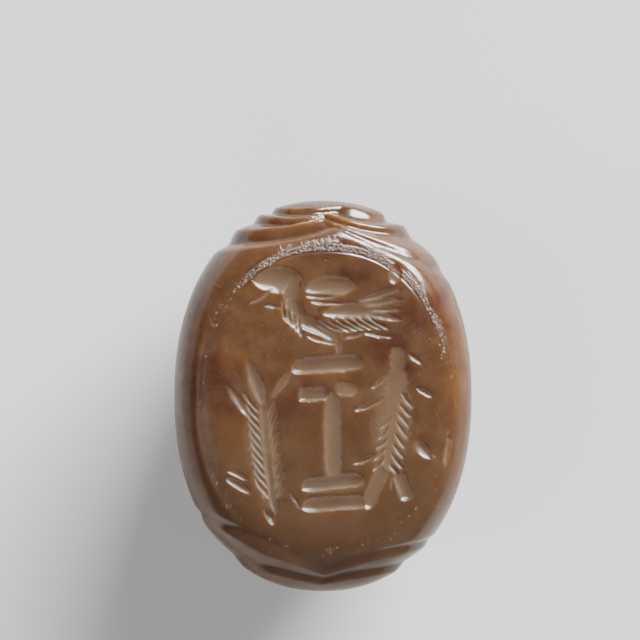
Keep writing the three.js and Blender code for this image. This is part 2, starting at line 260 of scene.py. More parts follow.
class SealSizes(bpy.types.PropertyGroup):
    """Sizes of the stone and of its cuts."""

    length: bpy.props.FloatProperty(
        name="Length", description="From end to end", default=STONE_LENGTH, unit="LENGTH"
    )
    width: bpy.props.FloatProperty(
        name="Width", description="Across, if it weren't pierced", default=16.9 * MM, unit="LENGTH"
    )
    height: bpy.props.FloatProperty(
        name="Height", description="From the back to the face", default=STONE_HEIGHT, unit="LENGTH"
    )
    face_length: bpy.props.FloatProperty(
        name="Face length", description="Length of the engraved face", default=18.0 * MM, unit="LENGTH"
    )
    face_width: bpy.props.FloatProperty(
        name="Face width", description="Width of the engraved face", default=14.8 * MM, unit="LENGTH"
    )
    rest_width: bpy.props.FloatProperty(
        name="Rest width", description="Width of the flat below", default=4.6 * MM, unit="LENGTH"
    )
    girth_depth: bpy.props.FloatProperty(
        name="Girth depth", description="Widest place, below the face", default=3.6 * MM, unit="LENGTH"
    )
    rim_round: bpy.props.FloatProperty(
        name="Rim rounding", description="Radius of the face's edge", default=0.2 * MM, unit="LENGTH"
    )
    rim_wear: bpy.props.FloatProperty(
        name="Rim wear", description="Depth worn off the face's edge", default=0.3 * MM, unit="LENGTH"
    )
    rim_wear_reach: bpy.props.FloatProperty(
        name="Rim wear reach", description="How far in the edge is worn", default=1.4 * MM, unit="LENGTH"
    )
    band_width: bpy.props.FloatProperty(
        name="Band width", description="Frosted band over the bird", default=0.5 * MM, unit="LENGTH"
    )
    bevel_drop: bpy.props.FloatProperty(
        name="Bevel drop", description="Drop from the face to that band", default=0.1 * MM, unit="LENGTH"
    )
    hole_radius: bpy.props.FloatProperty(
        name="Hole radius", description="Radius of the string hole", default=3.0 * MM, unit="LENGTH"
    )
    hole_mouth: bpy.props.FloatProperty(
        name="Hole mouth", description="Radius of its worn mouths", default=3.35 * MM, unit="LENGTH"
    )
    hole_height: bpy.props.FloatProperty(
        name="Hole height", description="Height of its axis", default=6.8 * MM, unit="LENGTH"
    )
    face_cell: bpy.props.FloatProperty(
        name="Face cell", description="Mesh size on the engraved face", default=0.066 * MM, unit="LENGTH"
    )
    chip_size: bpy.props.FloatProperty(
        name="Chip size", description="Usual width of the rim's chips", default=0.2 * MM, unit="LENGTH"
    )


class StoneColours(bpy.types.PropertyGroup):
    """Colours of the stone and of the floor."""

    tan: bpy.props.FloatVectorProperty(
        name="Tan", description="The stone's main colour", subtype="COLOR", default=(0.08, 0.037, 0.015)
    )
    red: bpy.props.FloatVectorProperty(
        name="Red", description="Red-brown clouds", subtype="COLOR", default=(0.058, 0.019, 0.0105)
    )
    # The stone's orange-brown, darkened on the sides as painted shade
    shaded_amber: bpy.props.FloatVectorProperty(
        name="Amber", description="Orange-brown sides", subtype="COLOR", default=(0.034, 0.011, 0.0022)
    )
    honey: bpy.props.FloatVectorProperty(
        name="Honey", description="Yellower veils", subtype="COLOR", default=(0.13, 0.062, 0.02)
    )
    # Painted reflection of the pale floor, greying the stone's lower half
    floor_sheen_grey: bpy.props.FloatVectorProperty(
        name="Grey", description="The greyer lower half", subtype="COLOR", default=(0.072, 0.043, 0.023)
    )
    pale: bpy.props.FloatVectorProperty(
        name="Pale", description="Matte beds of the cuts", subtype="COLOR", default=(0.23, 0.15, 0.09)
    )
    flake: bpy.props.FloatVectorProperty(
        name="Flake", description="Fresh breaks of the rim", subtype="COLOR", default=(0.5, 0.42, 0.35)
    )
    glow: bpy.props.FloatVectorProperty(
        name="Glow", description="Light through the stone", subtype="COLOR", default=(0.7, 0.36, 0.14)
    )
    floor: bpy.props.FloatVectorProperty(
        name="Floor", description="Colour of the floor", subtype="COLOR", default=(0.42, 0.42, 0.42)
    )


# The stone's plain skin


def half_size(depth, girth, face, sizes):
    """Half the stone's size at depths below the face, from half its girth and half its face."""
    rise = (face / girth) ** SIDE_POWER
    reach_up = sizes.girth_depth / (1 - rise) ** (1 / SIDE_POWER)
    rest = (sizes.rest_width / sizes.width) ** SIDE_POWER
    reach_down = (sizes.height - sizes.girth_depth) / (1 - rest) ** (1 / SIDE_POWER)
    away = depth - sizes.girth_depth
    share = np.abs(away) / np.where(away < 0, reach_up, reach_down)
    return girth * (1 - share**SIDE_POWER) ** (1 / SIDE_POWER)


def half_width(depth, sizes):
    """Half the stone's width at depths below the face."""
    return half_size(depth, sizes.width / 2, sizes.face_width / 2, sizes)


def half_length(depth, sizes):
    """Half the stone's length at depths below the face."""
    return half_size(depth, sizes.length / 2, sizes.face_length / 2, sizes)


def signed_power(v, power):
    """A power of the size of v, with v's sign."""
    return np.sign(v) * np.abs(v) ** power


def smooth(v, low, high):
    """Goes smoothly from 0 at low to 1 at high."""
    share = np.clip((v - low) / (high - low), 0, 1)
    return share * share * (3 - 2 * share)


def skin_points(angle, depth, inset, sizes):
    """Points of the plain skin, by the angle round the stone and the depth below the face."""
    x = (half_width(depth, sizes) - inset) * signed_power(np.cos(angle), 2 / PLAN_POWER)
    y = (half_length(depth, sizes) - inset) * signed_power(np.sin(angle), 2 / PLAN_POWER)
    return np.stack([x, y, sizes.height - depth + 0 * angle], -1)


def skin_normals(angle, depth, sizes):
    """Which way the plain skin faces, from two short steps on it."""
    turn, drop = 1e-5, 0.01 * MM
    around = skin_points(angle + turn, depth, 0, sizes) - skin_points(angle - turn, depth, 0, sizes)
    down = skin_points(angle, depth + drop, 0, sizes) - skin_points(angle, depth - drop, 0, sizes)
    normal = np.cross(down, around)
    return normal / np.maximum(np.linalg.norm(normal, axis=-1, keepdims=True), 1e-20)


def at_step(values, step):
    """The value at a step of a list that has one for each crest."""
    return np.interp(step, range(len(values)), values)


def crest_step(points, depth, nest, sizes):
    """Which crest of a nest a place of the skin lies on: 0 on the outermost, 1 on the next, and
    between them in between. Also says where there is none."""
    x, y = points[..., 0] / MM, np.abs(points[..., 1]) / MM
    spread = half_width(depth, sizes) / (sizes.width / 2)
    last = len(nest["peaks"]) - 1
    peak_x, peak_y = zip(*nest["peaks"])
    halvings = 18

    def inside(step):
        """Whether the place lies inwards of the crest with this number."""
        top_x, top_y = at_step(peak_x, step), at_step(peak_y, step)
        left_foot, right_foot = (at_step(nest[side]["feet"], step) for side in ("left", "right"))
        left_sag, right_sag = (at_step(nest[side]["sags"], step) for side in ("left", "right"))
        foot = np.where(x < top_x, -left_foot, right_foot)
        sag = np.where(x < top_x, left_sag, right_sag)
        foot_share = (np.abs(foot) * MM / (sizes.width / 2)) ** PLAN_POWER
        foot_y = sizes.length / 2 / MM * (1 - foot_share) ** (1 / PLAN_POWER)
        way = (x - top_x) / (foot - top_x)
        line = top_y + (foot_y - top_y) * way - sag * np.sin(math.pi * np.clip(way, 0, 1))
        leg = np.where(x < 0, x / spread > -left_foot, x / spread < right_foot)
        return np.where(depth < sizes.girth_depth, (y > line) & (way < 1), leg)

    low, high = np.zeros_like(x), np.full_like(x, last)
    outside, within = ~inside(low), inside(high)
    for _ in range(halvings):
        middle = (low + high) / 2
        deeper = inside(middle)
        low = np.where(deeper, middle, low)
        high = np.where(deeper, high, middle)
    return np.where(outside, 0.0, np.where(within, last, low)), outside | within


def flute_cut(points, depth, sizes):
    """How deep the flutes are cut at points of the skin, in metres."""
    cut = np.zeros_like(depth)
    for nest in NESTS:
        step, plain = crest_step(points, depth, nest, sizes)
        flute = np.minimum(step.astype(int), len(nest["peaks"]) - 2)
        place = step % 1
        low = np.array(FLUTE_DEEPEST)[flute]
        hollow = np.minimum(place / low, (1 - place) / (1 - low))
        hollow = hollow + (smooth(hollow, 0, 1) - hollow) * CREST_WEAR
        to_right = smooth(points[..., 0], -1 * MM, 1 * MM)
        left, right = (np.array(nest[side]["depths"])[flute] for side in ("left", "right"))
        deepest = left + (right - left) * to_right
        here = (np.sign(points[..., 1]) == nest["end"]) & ~plain
        cut = np.where(here, hollow * deepest, cut)
    return cut * MM * (1 - smooth(depth / MM, *FLUTE_FADE))


def skin_rows(sizes):
    """(depth, inset) of each row of the skin, from the face's rounded edge down to the rest."""
    rim = sizes.rim_round
    turns = [math.radians(a) for a in (0, 30, 60)]
    rows = [(rim * (1 - math.cos(a)), SKIN_INSET + rim * (1 - math.sin(a))) for a in turns]
    fine = np.arange(rim, sizes.girth_depth, FINE_ROW)
    coarse = np.linspace(sizes.girth_depth, sizes.height - REST_ROW, COARSE_ROWS)
    return rows + [(d, SKIN_INSET) for d in (*fine, *coarse, sizes.height)]


def skin_grid(sizes):
    """Rows of fluted points round the stone, and each point's way down from the face's edge. The
    columns stand closer together at the two ends."""
    turn = np.linspace(0, 2 * math.pi, SKIN_COLUMNS, endpoint=False)
    angle = turn + COLUMN_SHIFT * np.sin(2 * turn)
    rows = np.array(skin_rows(sizes))
    depth, inset = rows[:, :1] + 0 * angle, rows[:, 1:] + 0 * angle
    angle = angle + 0 * depth
    points = skin_points(angle, depth, inset, sizes)
    cut = flute_cut(points, depth, sizes)[..., None]
    normals = skin_normals(angle, np.minimum(depth, sizes.height - REST_ROW), sizes)
    return points - cut * normals, -depth


def face_grid(sizes):
    """A square grid cut to the face's oval: its points, its quads, the points on its edge, and each
    point's way inwards from the edge."""
    half_x = sizes.face_width / 2 - sizes.rim_round
    half_y = sizes.face_length / 2 - sizes.rim_round
    cell = sizes.face_cell
    nx, ny = int(half_x / cell) + 1, int(half_y / cell) + 1
    x, y = np.meshgrid(np.arange(-nx, nx + 1) * cell, np.arange(-ny, ny + 1) * cell, indexing="ij")
    size = ((np.abs(x) / half_x) ** PLAN_POWER + (np.abs(y) / half_y) ** PLAN_POWER) ** (1 / PLAN_POWER)
    kept = size < 1 - 0.6 * cell / half_x
    cells = kept[:-1, :-1] & kept[1:, :-1] & kept[1:, 1:] & kept[:-1, 1:]
    around = np.zeros(kept.shape, int)
    for i, j in ((0, 0), (1, 0), (1, 1), (0, 1)):
        around[i : i + cells.shape[0], j : j + cells.shape[1]] += cells
    used = around > 0
    number = np.cumsum(used.ravel()).reshape(used.shape) - 1
    corners = (number[:-1, :-1], number[1:, :-1], number[1:, 1:], number[:-1, 1:])
    quads = np.stack([c[cells] for c in corners], -1)
    points = np.stack([x[used], y[used], np.full(used.sum(), sizes.height)], -1)
    inward = (1 - size[used]) * np.minimum(half_x, half_y)
    edge = number[used & (around < 4)]
    return points, quads, edge, inward


def zip_loops(inner, outer, points):
    """Triangles between two loops of points that both go once round the middle."""
    loops = []
    for ids in (inner, outer):
        turn = np.arctan2(points[ids, 1], points[ids, 0])
        order = np.argsort(turn)
        around, turns = list(ids[order]), list(turn[order])
        loops.append((around + around[:1], turns + [turns[0] + 2 * math.pi]))
    (a, a_turn), (b, b_turn) = loops
    i = j = 0
    faces = []
    last_a, last_b = len(a) - 1, len(b) - 1
    while i < last_a or j < last_b:
        if j == last_b or (i < last_a and a_turn[i + 1] <= b_turn[j + 1]):
            faces.append((a[i], b[j], a[i + 1]))
            i += 1
        else:
            faces.append((a[i], b[j], b[j + 1]))
            j += 1
    return faces


def worn_rim(points, off_edge, sizes):
    """Wears the face's edge: rounded, but over the bird a narrow bevel down to a sloping band."""
    over_bird = smooth(points[..., 1] + 0.15 * points[..., 0], 0.22 * sizes.length, 0.34 * sizes.length)
    off_skin = np.clip(1 + np.minimum(off_edge, 0) / sizes.rim_wear_reach, 0, 1) ** 2
    rounded = np.clip(1 - np.abs(off_edge) / sizes.rim_wear_reach, 0, 1) ** 2
    half_bevel = sizes.bevel_drop
    stepped = smooth(off_edge, sizes.band_width + half_bevel, sizes.band_width - half_bevel)
    stepped = (stepped + smooth(off_edge, sizes.band_width, 0)) * off_skin
    worn = over_bird * sizes.bevel_drop * stepped + (1 - over_bird) * sizes.rim_wear * rounded
    outward = points - np.array([0, 0, sizes.height / 2])
    outward = outward / np.linalg.norm(outward, axis=-1, keepdims=True)
    return points - worn[..., None] * outward


def stone_blank(sizes):
    """The fluted stone before it is pierced and engraved, as a mesh."""
    face_points, quads, edge, inward = face_grid(sizes)
    skin, way_down = skin_grid(sizes)
    face_points = worn_rim(face_points, inward, sizes)
    skin = worn_rim(skin, way_down, sizes)
    rows, columns = way_down.shape
    first = len(face_points)
    ids = first + np.arange(rows * columns).reshape(rows, columns)
    after = np.roll(ids, -1, axis=1)
    points = np.concatenate([face_points, skin.reshape(-1, 3), [[0, 0, 0]]])
    faces = [tuple(q) for q in quads.tolist()]
    faces += zip_loops(edge, ids[0], points)
    sides = np.stack([ids[:-1], ids[1:], after[1:], after[:-1]], -1).reshape(-1, 4)
    faces += [tuple(q) for q in sides.tolist()]
    bottom = len(points) - 1
    faces += [(bottom, b, a) for a, b in zip(ids[-1].tolist(), after[-1].tolist())]
    mesh = bpy.data.meshes.new("stone_blank")
    mesh.from_pydata(points.tolist(), [], faces)
    way = np.concatenate([inward, way_down.ravel(), [-sizes.height]])
    mesh.attributes.new("inward", "FLOAT", "POINT").data.foreach_set("value", way.astype("f"))
    return mesh


# Formulas as nodes


class Number:
    """A number on a node tree's wire, so that a formula can be written as one."""

    def __init__(self, tree, socket):
        self.tree = tree
        self.socket = socket

    def math(self, operation, *others):
        """The answer of a Math node, with this number as its first input."""
        node = self.tree.nodes.new("ShaderNodeMath")
        node.operation = operation
        for place, value in enumerate((self, *others)):
            plug(self.tree, node.inputs[place], value)
        return Number(self.tree, node.outputs[0])

    def __add__(self, other):
        return self.math("ADD", other)

    def __sub__(self, other):
        return self.math("SUBTRACT", other)

    def __mul__(self, other):
        return self.math("MULTIPLY", other)

    def __truediv__(self, other):
        return self.math("DIVIDE", other)

    def __pow__(self, other):
        return self.math("POWER", other)

    def __gt__(self, other):
        return self.math("GREATER_THAN", other)

    def __lt__(self, other):
        return self.math("LESS_THAN", other)

    def size(self):
        """This number without its sign."""
        return self.math("ABSOLUTE")

    def at_least(self, other):
        """This number or the other, whichever is more."""
        return self.math("MAXIMUM", other)

    def at_most(self, other):
        """This number or the other, whichever is less."""
        return self.math("MINIMUM", other)

    def from_one(self):
        """1 minus this number."""
        return self * -1.0 + 1.0

    def ramp(self, low, high):
        """Goes smoothly from 0 at low to 1 at high."""
        node = self.tree.nodes.new("ShaderNodeMapRange")
        node.interpolation_type = "SMOOTHSTEP"
        for name, value in (("Value", self), ("From Min", low), ("From Max", high)):
            plug(self.tree, node.inputs[name], value)
        return Number(self.tree, node.outputs["Result"])


def plug(tree, socket, value):
    """Joins a wire to a socket, or sets the socket to a plain value."""
    if isinstance(value, Number):
        tree.links.new(value.socket, socket)
    elif isinstance(value, bpy.types.NodeSocket):
        tree.links.new(value, socket)
    else:
        socket.default_value = value


def add_node(tree, kind, plugs=None, **settings):
    """A node with its settings and its inputs, which are given by name or by number."""
    node = tree.nodes.new(kind)
    for name, value in settings.items():
        setattr(node, name, value)
    for key, value in (plugs or {}).items():
        plug(tree, node.inputs[key], value)
    return node


def parts_of(tree, vector):
    """The X, Y and Z of a vector as numbers."""
    split = add_node(tree, "ShaderNodeSeparateXYZ", {0: vector})
    return [Number(tree, out) for out in split.outputs]


def vector_of(tree, x, y, z):
    """A vector from three numbers."""
    return add_node(tree, "ShaderNodeCombineXYZ", {0: x, 1: y, 2: z}).outputs[0]


# The nodes that pierce, engrave and wear the stone


def named_field(tree, name, kind="FLOAT"):
    """What is stored on each point under a name."""
    node = add_node(tree, "GeometryNodeInputNamedAttribute", {"Name": name}, data_type=kind)
    return node.outputs["Attribute"]


def keep_field(tree, geometry, name, value):
    """Stores a number on each point under a name."""
    plugs = {"Geometry": geometry, "Name": name, "Value": value}
    node = add_node(tree, "GeometryNodeStoreNamedAttribute", plugs, data_type="FLOAT", domain="POINT")
    return node.outputs["Geometry"]


def pierce(tree, stone, sizes_in):
    """Cuts the string hole along X, wider at its worn mouths."""
    tube_sizes = {
        "Vertices": HOLE_SIDES,
        "Side Segments": HOLE_RINGS,
        "Radius": sizes_in["Hole radius"],
        "Depth": sizes_in["Stone width"] * 1.3,
    }
    tube = add_node(tree, "GeometryNodeMeshCylinder", tube_sizes, fill_type="TRIANGLE_FAN")
    position = add_node(tree, "GeometryNodeInputPosition").outputs[0]
    x, y, z = parts_of(tree, position)
    half = sizes_in["Stone width"] * 0.5
    flare = (z.size() / half).ramp(MOUTH_START, 1.0) ** 2.0
    widen = flare * (sizes_in["Hole mouth"] / sizes_in["Hole radius"] - 1.0) + 1.0
    placed = vector_of(tree, z, y * widen, x * widen + sizes_in["Hole height"])
    plugs = {"Geometry": tube.outputs["Mesh"], "Position": placed}
    turned = add_node(tree, "GeometryNodeSetPosition", plugs)
    flipped = add_node(tree, "GeometryNodeFlipFaces", {"Mesh": turned.outputs[0]})
    cut = add_node(tree, "GeometryNodeMeshBoolean", operation="DIFFERENCE", solver="MANIFOLD")
    plug(tree, cut.inputs["Mesh 1"], stone)
    plug(tree, cut.inputs["Mesh 2"], flipped.outputs[0])
    return cut.outputs["Mesh"]


def stroke_depth(tree, strokes, index):
    """How deep the numbered stroke is at each point, and where across the stroke the point is."""

    def of_stroke(name):
        """The three numbers that the stroke's point carries under a name."""
        plugs = {"Geometry": strokes, "Value": named_field(tree, name, "FLOAT_VECTOR"), "Index": index}
        kinds = {"data_type": "FLOAT_VECTOR", "domain": "POINT"}
        return parts_of(tree, add_node(tree, "GeometryNodeSampleIndex", plugs, **kinds).outputs["Value"])

    ax, ay, _ = of_stroke("start")
    bx, by, _ = of_stroke("end")
    width, depth, bend = of_stroke("size")
    blunt, bed, skew = of_stroke("form")
    px, py, _ = parts_of(tree, add_node(tree, "GeometryNodeInputPosition").outputs[0])
    run_x, run_y = bx - ax, by - ay
    length = (run_x * run_x + run_y * run_y) ** 0.5
    dir_x, dir_y = run_x / length, run_y / length
    from_x, from_y = px - (ax + bx) * 0.5, py - (ay + by) * 0.5
    along = (from_x * dir_x + from_y * dir_y) * 2.0 / length
    wander = Number(tree, add_node(tree, "ShaderNodeTexNoise", {"Scale": 1 / WANDER_SIZE}).outputs[0])
    side = from_y * dir_x - from_x * dir_y + (wander - 0.5) * WANDER_REACH
    across = (side - bend * (along * along).from_one()) * 2.0 / width
    leaned = (across - skew) / (across * skew).from_one()
    room = (along.size() ** blunt).from_one().at_least(0.0)
    share = leaned.size() / (room ** 0.65).at_least(0.001)
    edge = (leaned * skew * -2.4 + 1.15).at_least(0.8)
    hollow = (share ** bed).from_one().at_least(0.0) ** edge
    return depth * hollow * room ** 0.8, across


def engrave(tree, stone, strokes, count, height):
    """Cuts every stroke into the face, one in each turn of a repeat zone. "across" keeps where a
    point lies across its deepest stroke, set apart from the other strokes' by a step."""
    start = tree.nodes.new("GeometryNodeRepeatInput")
    stop = tree.nodes.new("GeometryNodeRepeatOutput")
    start.pair_with_output(stop)
    start.inputs["Iterations"].default_value = count
    blank = keep_field(tree, stone, "cut", 0.0)
    blank = keep_field(tree, blank, "across", 0.0)
    plug(tree, start.inputs["Geometry"], blank)
    index = start.outputs["Iteration"]
    geometry = start.outputs["Geometry"]
    depth, across = stroke_depth(tree, strokes, index)
    cut = Number(tree, named_field(tree, "cut"))
    deeper = depth > cut
    old_across = Number(tree, named_field(tree, "across"))
    stroke_step = 3.7
    new_across = across + Number(tree, index) * stroke_step
    geometry = keep_field(tree, geometry, "across", old_across + (new_across - old_across) * deeper)
    geometry = keep_field(tree, geometry, "cut", cut.at_least(depth))
    plug(tree, stop.inputs["Geometry"], geometry)
    z = parts_of(tree, add_node(tree, "GeometryNodeInputPosition").outputs[0])[2]
    face_room = 0.3 * MM
    on_face = z > height - face_room
    cut = Number(tree, named_field(tree, "cut")) * on_face
    geometry = keep_field(tree, stop.outputs["Geometry"], "cut", cut)
    lower = vector_of(tree, 0.0, 0.0, Number(tree, named_field(tree, "cut")) * -1.0)
    return add_node(tree, "GeometryNodeSetPosition", {"Geometry": geometry, "Offset": lower}).outputs[0]


def chip_rim(tree, stone, chip_size, height):
    """Breaks small flakes out of the face's rim, most of them at the top and upper right. "chip"
    keeps how deep they are and "frost" where the rim is rough."""
    position = add_node(tree, "GeometryNodeInputPosition").outputs[0]
    x, y, z = parts_of(tree, position)
    inward = Number(tree, named_field(tree, "inward"))
    flakes = add_node(tree, "ShaderNodeTexVoronoi", {"Vector": position, "Scale": chip_size ** -1.0})
    plugs = {"Vector": position, "Scale": 1 / (1.1 * MM), "Detail": 2.0}
    wander = (Number(tree, add_node(tree, "ShaderNodeTexNoise", plugs).outputs[0]) - 0.5) * 0.3 * MM
    top = ((y + x * 0.2) / MM).ramp(0.5, 7.0)
    off_middle = (inward - top * 0.2 * MM + wander).size()
    band = (off_middle / ((top * 0.1 + 0.16) * MM)).ramp(1.0, 0.55)
    pick = parts_of(tree, flakes.outputs["Color"])[0]
    lost = pick < band * (top * 0.25 + 0.24)
    bowl = Number(tree, flakes.outputs["Distance"]).ramp(0.7, 0.15)
    geometry = keep_field(tree, stone, "chip", lost * bowl * FLAKE_DEPTH / FLAKE_UNIT)
    geometry = keep_field(tree, geometry, "frost", band * (top ** 2.0))
    from_middle = vector_of(tree, x, y, z - height * 0.5)
    outward = add_node(tree, "ShaderNodeVectorMath", {0: from_middle}, operation="NORMALIZE")
    push = add_node(tree, "ShaderNodeVectorMath", {0: outward.outputs[0]}, operation="SCALE")
    plug(tree, push.inputs["Scale"], Number(tree, named_field(tree, "chip")) * -FLAKE_UNIT)
    plugs = {"Geometry": geometry, "Offset": push.outputs[0]}
    return add_node(tree, "GeometryNodeSetPosition", plugs).outputs[0]


def cutting_nodes(stroke_count):
    """The node tree that turns the blank into the finished seal."""
    tree = bpy.data.node_groups.new("Cut the seal", "GeometryNodeTree")
    face = tree.interface
    face.new_socket("Geometry", in_out="INPUT", socket_type="NodeSocketGeometry")
    face.new_socket("Strokes", in_out="INPUT", socket_type="NodeSocketObject")
    for name in ("Stone width", "Stone height", "Hole radius", "Hole mouth", "Hole height", "Chip size"):
        socket = face.new_socket(name, in_out="INPUT", socket_type="NodeSocketFloat")
        socket.subtype = "DISTANCE"
    face.new_socket("Stone", in_out="INPUT", socket_type="NodeSocketMaterial")
    face.new_socket("Geometry", in_out="OUTPUT", socket_type="NodeSocketGeometry")
    given = tree.nodes.new("NodeGroupInput").outputs
    sizes_in = {out.name: Number(tree, out) for out in given if out.type == "VALUE"}
    strokes = add_node(tree, "GeometryNodeObjectInfo", {"Object": given["Strokes"]}).outputs["Geometry"]
    stone = pierce(tree, given["Geometry"], sizes_in)
    stone = engrave(tree, stone, strokes, stroke_count, sizes_in["Stone height"])
    stone = chip_rim(tree, stone, sizes_in["Chip size"], sizes_in["Stone height"])
    stone = add_node(tree, "GeometryNodeSetShadeSmooth", {"Geometry": stone}).outputs[0]
    stone = add_node(tree, "GeometryNodeRealizeInstances", {"Geometry": stone}).outputs[0]
    stone = add_node(tree, "GeometryNodeSetMaterial", {"Geometry": stone, "Material": given["Stone"]})
    plug(tree, tree.nodes.new("NodeGroupOutput").inputs[0], stone.outputs[0])
    return tree


def stroke_object(strokes):
    """One point for each stroke, which carries the stroke's ends, size and form."""
    mesh = bpy.data.meshes.new("strokes")
    mesh.from_pydata([(0, 0, 0)] * len(strokes), [], [])
    values = {
        "start": [(*(v * MM for v in s["ends"][0]), 0) for s in strokes],
        "end": [(*(v * MM for v in s["ends"][1]), 0) for s in strokes],
        "size": [(w * MM, d * CUT_SHARE * MM, b * MM) for w, d, b in (s["size"] for s in strokes)],
        "form": [s["form"] for s in strokes],
    }
    for name, rows in values.items():
        attribute = mesh.attributes.new(name, "FLOAT_VECTOR", "POINT")
        attribute.data.foreach_set("vector", np.array(rows, "f").ravel())
    return bpy.data.objects.new("strokes", mesh)


def set_inputs(modifier, values):
    """Sets a nodes modifier's inputs by the names that its tree gives them."""
    for item in modifier.node_group.interface.items_tree:
        if item.in_out == "INPUT" and item.name in values:
            modifier[item.identifier] = values[item.name]


# Materials


def field(tree, name):
    """What the mesh stores under a name, for a material."""
    return Number(tree, add_node(tree, "ShaderNodeAttribute", attribute_name=name).outputs["Fac"])


def noise(tree, coordinates, size_mm, detail=3.0, roughness=0.5, offset=0.0):
    """Soft random patches of about this size, from 0 to 1. The coordinates are in mm."""
    plugs = {0: coordinates, 1: (offset, offset, offset)}
    moved = add_node(tree, "ShaderNodeVectorMath", plugs).outputs[0]
    plugs = {"Vector": moved, "Scale": 1 / size_mm, "Detail": detail, "Roughness": roughness}
    return Number(tree, add_node(tree, "ShaderNodeTexNoise", plugs).outputs[0])


def mix(tree, amount, first, second):
    """Blends two colours."""
    node = add_node(tree, "ShaderNodeMix", data_type="RGBA")
    plug(tree, node.inputs["Factor"], amount)
    colours = [s for s in node.inputs if s.type == "RGBA"]
    for socket, colour in zip(colours, (first, second)):
        plug(tree, socket, colour if isinstance(colour, bpy.types.NodeSocket) else (*colour, 1))
    return next(s for s in node.outputs if s.type == "RGBA")


def scratches(tree, x, y):
    """Hair-thin scratches that run in three directions."""
    found = 0.0
    for turn, seed in ((0.5, 3.0), (1.9, 11.0), (2.7, 23.0)):
        run = x * math.cos(turn) + y * math.sin(turn)
        side = y * math.cos(turn) - x * math.sin(turn)
        strands = noise(tree, vector_of(tree, run * 0.12, side, 0.0), 0.16, detail=1.0, offset=seed)
        found = strands.ramp(0.73, 0.8) + found
    return found


def pits(tree, here):
    """Small round pits, strewn over the stone."""
    cells = add_node(tree, "ShaderNodeTexVoronoi", {"Vector": here, "Scale": 3.4})
    pick = parts_of(tree, cells.outputs["Color"])[0]
    return Number(tree, cells.outputs["Distance"]).ramp(0.22, 0.05) * (pick > 0.62)


def stone_colour(tree, colours, here, marks):
    """The stone's clouds and veils, with its marks: cuts, flakes, scratches and pits. The sides are
    darkened as painted shade, and the lower half is greyed as a painted reflection of the floor.
    """
    x, y, z = parts_of(tree, here)
    wander = (noise(tree, here, 2.4, detail=3.0) - 0.5) * 4.0
    redness = noise(tree, here, 1.5, detail=4.0, roughness=0.6, offset=7.0) * 0.6
    for cloud_x, cloud_y, reach in RED_CLOUDS:
        off = ((x + wander - cloud_x) ** 2.0 + (y - wander - cloud_y) ** 2.0) ** 0.5
        redness = redness + (off / reach).ramp(1.0, 0.0) * 0.4
    # Below the face's edge the stone turns a darker orange-brown: its own hue, darkened as painted shade
    sides = (z * -1.0 + STONE_HEIGHT / MM).ramp(0.1, 3.0)
    mottle = noise(tree, here, 1.1, detail=5.0, roughness=0.65).ramp(0.35, 0.75)
    veil = noise(tree, here, 2.6, detail=2.0, offset=31.0).ramp(0.5, 0.7)
    # The lower half goes greyer: a painted sheen of the floor's light, reflected in the stone and seen
    # through it
    floor_sheen = (y * -1.0 + wander).ramp(-1.0, 6.0)
    cut, chip, scratch, pit = marks
    base = mix(tree, redness.ramp(0.3, 0.75), colours.tan, colours.red)
    base = mix(tree, sides, base, colours.shaded_amber)
    base = mix(tree, mottle * 0.22, base, colours.pale)
    base = mix(tree, veil * sides.from_one() * 0.45, base, colours.honey)
    base = mix(tree, (scratch + pit).at_most(1.0) * 0.25, base, colours.pale)
    base = mix(tree, floor_sheen * 0.55, base, colours.floor_sheen_grey)
    base = mix(tree, cut * 0.4, base, colours.pale)
    return mix(tree, chip * 0.2, base, colours.flake)


